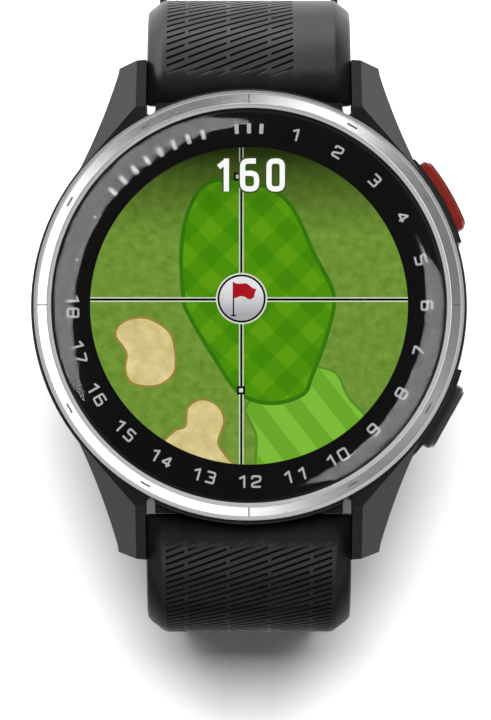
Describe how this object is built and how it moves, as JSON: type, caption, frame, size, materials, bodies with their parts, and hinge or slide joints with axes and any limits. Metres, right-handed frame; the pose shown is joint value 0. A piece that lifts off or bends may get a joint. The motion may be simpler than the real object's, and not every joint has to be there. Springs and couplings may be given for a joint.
{
  "type": "golf gps watch",
  "caption": "Round golf GPS watch with brushed metal bezel, numbered lens ring, lit green map, two side buttons and an open silicone strap with buckle.",
  "frame": {"origin": "centre of the case back's flat face", "axes": "+Z out of the dial, +Y towards 12 o'clock, +X towards 3 o'clock, where the buttons are"},
  "size_m": [0.0438, 0.0698, 0.0714],
  "materials": {
    "case_black": "fine-textured black polymer",
    "bezel_aluminium": "circular brushed, polished chamfers",
    "cover_glass": "clear polished glass with a curved edge",
    "seal_rubber": "smooth black seal rubber",
    "ring_ink": "black print with light grey numerals",
    "display_panel": "lit panel with a golf green map",
    "tray_plastic": "dark moulded plastic",
    "flex_film": "amber film cable",
    "board_laminate": "green solder mask",
    "shield_tin": "tinned shield can",
    "chip_resin": "black moulding resin",
    "cell_foil": "crinkled foil pouch",
    "wire_insulation": "red wire insulation",
    "motor_steel": "satin steel can",
    "antenna_copper": "copper strip",
    "back_black": "satin black polymer",
    "screw_steel": "blackened steel",
    "socket_plastic": "black moulded plastic",
    "contact_gold": "gold-plated contact",
    "switch_resin": "black switch body",
    "button_red": "glossy orange-red plastic",
    "button_black": "satin black plastic",
    "strap_silicone": "matte black silicone with slanted grooves",
    "keeper_silicone": "matte black silicone",
    "buckle_steel": "dark brushed steel",
    "bar_steel": "bright turned steel"
  },
  "bodies": {
    "watch_case": {"case_middle": "case_black", "bezel": "bezel_aluminium", "lens": "cover_glass", "lens_gasket": "seal_rubber", "lens_print": "ring_ink", "display_module": "display_panel", "display_frame": "tray_plastic", "display_flex": "flex_film", "main_board": "board_laminate", "board_shields": "shield_tin", "board_chips": "chip_resin", "battery": "cell_foil", "battery_lead": "wire_insulation", "vibration_motor": "motor_steel", "gnss_antenna": "antenna_copper", "back_cover": "back_black", "back_gasket": "seal_rubber", "back_screws": "screw_steel", "chassis_screws": "screw_steel", "charging_socket": "socket_plastic", "charging_contacts": "contact_gold", "upper_button_switch": "switch_resin", "lower_button_switch": "switch_resin"},
    "upper_button": {"upper_button_cap": "button_red", "upper_button_stem": "bar_steel", "upper_button_seal": "seal_rubber", "upper_button_clip": "bar_steel", "upper_button_spring": "bar_steel"},
    "lower_button": {"lower_button_cap": "button_black", "lower_button_stem": "bar_steel", "lower_button_seal": "seal_rubber", "lower_button_clip": "bar_steel", "lower_button_spring": "bar_steel"},
    "buckle_strap": {"strap_buckle_side": "strap_silicone", "keeper_fixed": "keeper_silicone", "upper_bar_tube": "bar_steel", "upper_fixed_pin": "bar_steel", "upper_bar_spring": "bar_steel"},
    "upper_release": {"upper_release_pin": "bar_steel"},
    "buckle": {"buckle_frame": "buckle_steel", "buckle_pin": "bar_steel"},
    "tongue": {"buckle_tongue": "buckle_steel"},
    "free_keeper": {"keeper_free": "keeper_silicone"},
    "tail_strap": {"strap_tail_side": "strap_silicone", "lower_bar_tube": "bar_steel", "lower_fixed_pin": "bar_steel", "lower_bar_spring": "bar_steel"},
    "lower_release": {"lower_release_pin": "bar_steel"}
  },
  "joints": [
    {"name": "upper_strap_swing", "type": "hinge", "parent": "watch_case", "child": "buckle_strap", "pos_m": [0, 0.0232, 0.0036], "axis": [1, 0, 0], "range_deg": [-20, 86]},
    {"name": "lower_strap_swing", "type": "hinge", "parent": "watch_case", "child": "tail_strap", "pos_m": [0, -0.0232, 0.0036], "axis": [-1, 0, 0], "range_deg": [-8, 86]},
    {"name": "upper_button_press", "type": "slide", "parent": "watch_case", "child": "upper_button", "axis": [-0.866, -0.5, 0], "range_m": [0, 0.0005], "stiffness_N_per_m": 3000, "springref_m": -0.0002, "deforming": ["upper_button_spring"]},
    {"name": "lower_button_press", "type": "slide", "parent": "watch_case", "child": "lower_button", "axis": [-0.8721, 0.4894, 0], "range_m": [0, 0.0005], "stiffness_N_per_m": 3000, "springref_m": -0.0002, "deforming": ["lower_button_spring"]},
    {"name": "upper_release_slide", "type": "slide", "parent": "buckle_strap", "child": "upper_release", "axis": [-1, 0, 0], "range_m": [0, 0.001], "stiffness_N_per_m": 500, "springref_m": -0.0006, "deforming": ["upper_bar_spring"]},
    {"name": "lower_release_slide", "type": "slide", "parent": "tail_strap", "child": "lower_release", "axis": [-1, 0, 0], "range_m": [0, 0.001], "stiffness_N_per_m": 500, "springref_m": -0.0006, "deforming": ["lower_bar_spring"]},
    {"name": "buckle_swing", "type": "hinge", "parent": "buckle_strap", "child": "buckle", "pos_m": [0, 0.0141, -0.045], "axis": [-1, 0, 0], "range_deg": [-50, 75]},
    {"name": "tongue_swing", "type": "hinge", "parent": "buckle", "child": "tongue", "pos_m": [0, 0.0141, -0.045], "axis": [1, 0, 0], "range_deg": [0, 100]},
    {"name": "keeper_slide", "type": "slide", "parent": "buckle_strap", "child": "free_keeper", "axis": [0, 0, 1], "range_m": [-0.0025, 0.0032]}
  ]
}
